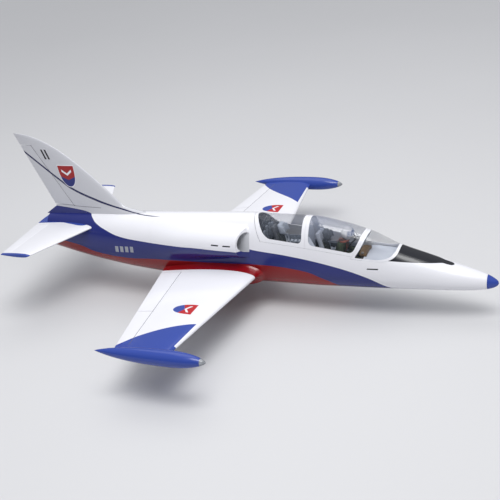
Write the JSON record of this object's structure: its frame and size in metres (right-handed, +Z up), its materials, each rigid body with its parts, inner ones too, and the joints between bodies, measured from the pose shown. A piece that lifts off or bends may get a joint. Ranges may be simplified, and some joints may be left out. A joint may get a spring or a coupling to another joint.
{
  "type": "rc jet plane",
  "caption": "Large radio-controlled jet trainer: tandem cockpit under clear canopies, side intakes, tip tanks, jointed control surfaces and retracting landing gear.",
  "frame": {"origin": "under the middle of the bounding box, on the plane of the flat strip of the belly", "axes": "+X out of the nose, +Y to the left wing tip, +Z up"},
  "size_m": [2.4192, 1.914, 0.736],
  "materials": {
    "gloss_white": "high gloss paint on a composite moulding",
    "gloss_blue": "high gloss paint",
    "matte_dark_grey": "matt",
    "matte_light_grey": "matt",
    "clear_plastic": "clear, polished",
    "aluminium": "machined",
    "exhaust_steel": "heat-tinted sheet",
    "tyre_rubber": "matt rubber",
    "carbon_fibre": "satin",
    "tank_plastic": "satin, translucent white",
    "flight_suit": "matt paint",
    "battery_wrap": "shrink wrap",
    "birch_plywood": "bare plywood",
    "panel_brown": "matt"
  },
  "bodies": {
    "airframe": {"nose_cone": "gloss_blue", "fuselage_front": "gloss_white", "fuselage_rear": "gloss_white", "intake_duct_left": "matte_light_grey", "intake_duct_right": "matte_light_grey", "windshield_frame": "gloss_white", "windshield_glass": "clear_plastic", "cockpit_tub": "matte_dark_grey", "seat_front": "matte_dark_grey", "seat_rear": "matte_dark_grey", "instrument_panel_front": "panel_brown", "instrument_panel_rear": "matte_light_grey", "pilot_figure": "flight_suit", "wing_left": "gloss_white", "wing_right": "gloss_white", "wing_tube": "carbon_fibre", "tip_tank_left": "gloss_blue", "tip_tank_right": "gloss_blue", "tank_lens_left": "clear_plastic", "tank_lens_right": "clear_plastic", "stab_left": "gloss_white", "stab_right": "gloss_white", "stab_tube": "carbon_fibre", "fin": "gloss_white", "turbine": "aluminium", "turbine_former": "birch_plywood", "tailpipe": "exhaust_steel", "fuel_tank": "tank_plastic", "battery": "battery_wrap", "receiver": "matte_dark_grey", "equipment_tray": "birch_plywood", "servo_aileron_left": "matte_dark_grey", "servo_aileron_right": "matte_dark_grey", "nose_retract_unit": "matte_dark_grey", "main_retract_unit_left": "matte_dark_grey", "main_retract_unit_right": "matte_dark_grey"},
    "canopy_front": {"canopy_front_frame": "gloss_white", "canopy_front_glass": "clear_plastic"},
    "canopy_rear": {"canopy_rear_frame": "gloss_white", "canopy_rear_glass": "clear_plastic"},
    "aileron_left": {"aileron_left": "gloss_white"},
    "aileron_right": {"aileron_right": "gloss_white"},
    "flap_left": {"flap_left": "gloss_white"},
    "flap_right": {"flap_right": "gloss_white"},
    "elevator_left": {"elevator_left": "gloss_white"},
    "elevator_right": {"elevator_right": "gloss_white"},
    "rudder": {"rudder": "gloss_white"},
    "nose_gear": {"nose_leg": "aluminium", "nose_leg_door": "gloss_white"},
    "nose_steering": {"nose_fork": "aluminium"},
    "nose_wheel": {"nose_hub": "aluminium", "nose_tyre": "tyre_rubber"},
    "main_gear_left": {"main_leg_left": "aluminium", "main_leg_door_left": "gloss_white"},
    "main_wheel_left": {"main_hub_left": "aluminium", "main_tyre_left": "tyre_rubber"},
    "main_gear_right": {"main_leg_right": "aluminium", "main_leg_door_right": "gloss_white"},
    "main_wheel_right": {"main_hub_right": "aluminium", "main_tyre_right": "tyre_rubber"}
  },
  "joints": [
    {"name": "aileron_left_hinge", "type": "hinge", "parent": "airframe", "child": "aileron_left", "pos_m": [-0.22375, 0.5735, 0.09993], "axis": [0.1318, 0.9904, 0.0424], "range_deg": [-25, 25]},
    {"name": "aileron_right_hinge", "type": "hinge", "parent": "airframe", "child": "aileron_right", "pos_m": [-0.22375, -0.5735, 0.09993], "axis": [-0.1318, 0.9904, -0.0424], "range_deg": [-25, 25]},
    {"name": "flap_left_hinge", "type": "hinge", "parent": "airframe", "child": "flap_left", "pos_m": [-0.27721, 0.172, 0.08276], "axis": [-0.1318, -0.9904, -0.0424], "range_deg": [0, 35]},
    {"name": "flap_right_hinge", "type": "hinge", "parent": "airframe", "child": "flap_right", "pos_m": [-0.27721, -0.172, 0.08276], "axis": [0.1318, -0.9904, 0.0424], "range_deg": [0, 35]},
    {"name": "elevator_left_hinge", "type": "hinge", "parent": "airframe", "child": "elevator_left", "pos_m": [-1.06848, 0.078, 0.26048], "axis": [-0.0183, 0.9997, 0.0183], "range_deg": [-25, 25]},
    {"name": "elevator_right_hinge", "type": "hinge", "parent": "airframe", "child": "elevator_right", "pos_m": [-1.06848, -0.078, 0.26048], "axis": [0.0183, 0.9997, -0.0183], "range_deg": [-25, 25]},
    {"name": "rudder_hinge", "type": "hinge", "parent": "airframe", "child": "rudder", "pos_m": [-0.931, 0, 0.3535], "axis": [-0.5009, 0, 0.8655], "range_deg": [-25, 25]},
    {"name": "canopy_front_hinge", "type": "hinge", "parent": "airframe", "child": "canopy_front", "pos_m": [0.49, -0.108, 0.1938], "axis": [1, 0, 0], "range_deg": [0, 60]},
    {"name": "canopy_rear_hinge", "type": "hinge", "parent": "airframe", "child": "canopy_rear", "pos_m": [0.21, -0.108, 0.2242], "axis": [1, 0, 0], "range_deg": [0, 60]},
    {"name": "nose_gear_pivot", "type": "hinge", "parent": "airframe", "child": "nose_gear", "pos_m": [0.705, 0, 0.032], "axis": [0, 1, 0], "range_deg": [0, 107]},
    {"name": "nose_steering_pivot", "type": "hinge", "parent": "nose_gear", "child": "nose_steering", "pos_m": [0.705, 0, 0.032], "axis": [0.9563, 0, 0.2924], "range_deg": [-20, 20]},
    {"name": "nose_wheel_axle", "type": "hinge", "parent": "nose_steering", "child": "nose_wheel", "pos_m": [0.81019, 0, 0.06416], "axis": [0, 1, 0], "continuous": true},
    {"name": "main_gear_left_pivot", "type": "hinge", "parent": "airframe", "child": "main_gear_left", "pos_m": [-0.17, 0.247, 0.09], "axis": [1, 0, 0], "range_deg": [0, 90]},
    {"name": "main_gear_right_pivot", "type": "hinge", "parent": "airframe", "child": "main_gear_right", "pos_m": [-0.17, -0.247, 0.09], "axis": [-1, 0, 0], "range_deg": [0, 90]},
    {"name": "main_wheel_left_axle", "type": "hinge", "parent": "main_gear_left", "child": "main_wheel_left", "pos_m": [-0.17, 0.092, 0.0695], "axis": [0, 0, 1], "continuous": true},
    {"name": "main_wheel_right_axle", "type": "hinge", "parent": "main_gear_right", "child": "main_wheel_right", "pos_m": [-0.17, -0.092, 0.0695], "axis": [0, 0, 1], "continuous": true}
  ],
  "couplings": [
    {"joint": "aileron_right_hinge", "follows": "aileron_left_hinge", "ratio": -1},
    {"joint": "flap_right_hinge", "follows": "flap_left_hinge", "ratio": 1},
    {"joint": "elevator_right_hinge", "follows": "elevator_left_hinge", "ratio": 1},
    {"joint": "main_gear_right_pivot", "follows": "main_gear_left_pivot", "ratio": 1}
  ]
}
